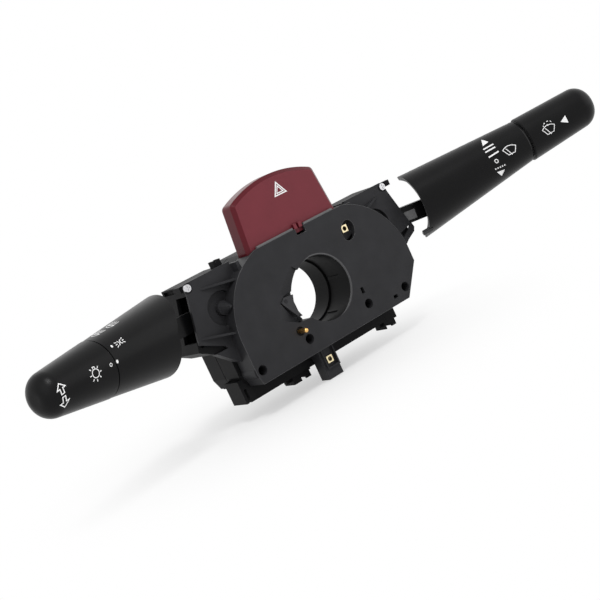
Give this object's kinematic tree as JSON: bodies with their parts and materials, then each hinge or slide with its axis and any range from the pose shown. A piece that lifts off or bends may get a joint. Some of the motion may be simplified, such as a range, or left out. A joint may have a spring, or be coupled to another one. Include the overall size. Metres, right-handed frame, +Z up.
{
  "type": "combination stalk switch",
  "caption": "Steering column switch with lights and wiper stalks, a hazard button on top, a horn contact pin and a round column bore.",
  "frame": {"origin": "centre of the column bore on the front face of the plate", "axes": "+X to the driver's right, +Y away from the driver along the column, +Z up"},
  "size_m": [0.4391, 0.1106, 0.1324],
  "materials": {
    "housing_plastic": "fine texture",
    "stalk_plastic": "satin",
    "case_plastic": "fine texture",
    "dark_gloss": "gloss",
    "grey_plastic": "satin",
    "hazard_red": "satin",
    "brass": "bright",
    "bright_steel": "bright zinc",
    "spring_steel": "plain",
    "board": "plain"
  },
  "bodies": {
    "housing": {"front_housing": "housing_plastic", "middle_housing": "case_plastic", "rear_cover": "case_plastic", "cover_screws": "bright_steel", "left_switch_case": "case_plastic", "right_switch_case": "case_plastic", "hazard_board": "board", "hazard_guide": "spring_steel", "hazard_spring": "spring_steel", "top_strips": "grey_plastic", "horn_bush": "case_plastic", "horn_spring": "spring_steel", "horn_cup": "brass", "upper_nut": "brass", "lower_lug": "housing_plastic", "lower_nut": "brass", "left_wing_screw": "bright_steel", "right_wing_screw": "bright_steel", "rear_rail": "case_plastic", "foot_block": "case_plastic", "left_connector": "case_plastic", "right_connector": "case_plastic", "left_terminals": "brass", "right_terminals": "brass", "left_contact_board": "board", "right_contact_board": "board", "left_contact_strips": "brass", "right_contact_strips": "brass", "cable_clip": "case_plastic"},
    "left_carrier_body": {"left_carrier": "case_plastic", "left_hinge_pin": "spring_steel"},
    "left_stalk": {"left_stalk_bar": "stalk_plastic", "left_sleeve": "stalk_plastic"},
    "light_knob_body": {"light_knob": "stalk_plastic"},
    "right_carrier_body": {"right_carrier": "case_plastic", "right_hinge_pin": "spring_steel"},
    "right_stalk": {"right_stalk_bar": "stalk_plastic", "right_root_inset": "grey_plastic", "right_sleeve": "stalk_plastic", "neck_ring": "dark_gloss", "button_wave_spring": "spring_steel"},
    "washer_button_body": {"washer_button": "stalk_plastic"},
    "hazard_button_body": {"hazard_button": "hazard_red", "hazard_slider": "case_plastic"},
    "horn_pin_body": {"horn_pin": "brass"},
    "cancelling_ring_body": {"cancelling_ring": "case_plastic"},
    "cancelling_pawl_body": {"cancelling_pawl": "housing_plastic"}
  },
  "joints": [
    {"name": "left_turn", "type": "hinge", "parent": "housing", "child": "left_carrier_body", "pos_m": [-0.0645, 0.0261, 0.0175], "axis": [0, 1, 0], "range_deg": [-7, 7]},
    {"name": "left_dip", "type": "hinge", "parent": "left_carrier_body", "child": "left_stalk", "pos_m": [-0.0645, 0.0261, 0.0171], "axis": [0, 0, 1], "range_deg": [-3, 3]},
    {"name": "light_knob_turn", "type": "hinge", "parent": "left_stalk", "child": "light_knob_body", "pos_m": [-0.18644, -0.01828, 0.02481], "axis": [-0.938, -0.3414, 0.0593], "range_deg": [0, 60]},
    {"name": "right_turn", "type": "hinge", "parent": "housing", "child": "right_carrier_body", "pos_m": [0.0645, 0.0292, 0.0175], "axis": [0, 1, 0], "range_deg": [-7, 7]},
    {"name": "right_pull", "type": "hinge", "parent": "right_carrier_body", "child": "right_stalk", "pos_m": [0.0645, 0.0292, 0.0126], "axis": [0, 0, 1], "range_deg": [-3, 0], "stiffness_Nm_per_rad": 2},
    {"name": "washer_push", "type": "slide", "parent": "right_stalk", "child": "washer_button_body", "axis": [-0.9023, 0.4207, -0.0941], "range_m": [0, 0.002], "stiffness_N_per_m": 900, "springref_m": -0.001},
    {"name": "hazard_push", "type": "slide", "parent": "housing", "child": "hazard_button_body", "axis": [0, 0, -1], "range_m": [0, 0.0035], "stiffness_N_per_m": 500, "springref_m": -0.002, "deforming": ["hazard_spring"]},
    {"name": "horn_push", "type": "slide", "parent": "housing", "child": "horn_pin_body", "axis": [0, 1, 0], "range_m": [0, 0.003], "stiffness_N_per_m": 300, "springref_m": -0.001, "deforming": ["horn_spring"]},
    {"name": "cancelling_turn", "type": "hinge", "parent": "housing", "child": "cancelling_ring_body", "pos_m": [0, 0.018, 0], "axis": [0, 1, 0], "continuous": true},
    {"name": "pawl_tip", "type": "hinge", "parent": "housing", "child": "cancelling_pawl_body", "pos_m": [-0.0278, 0.0033, 0.0036], "axis": [0, 1, 0], "range_deg": [-5, 5], "stiffness_Nm_per_rad": 0.02}
  ]
}
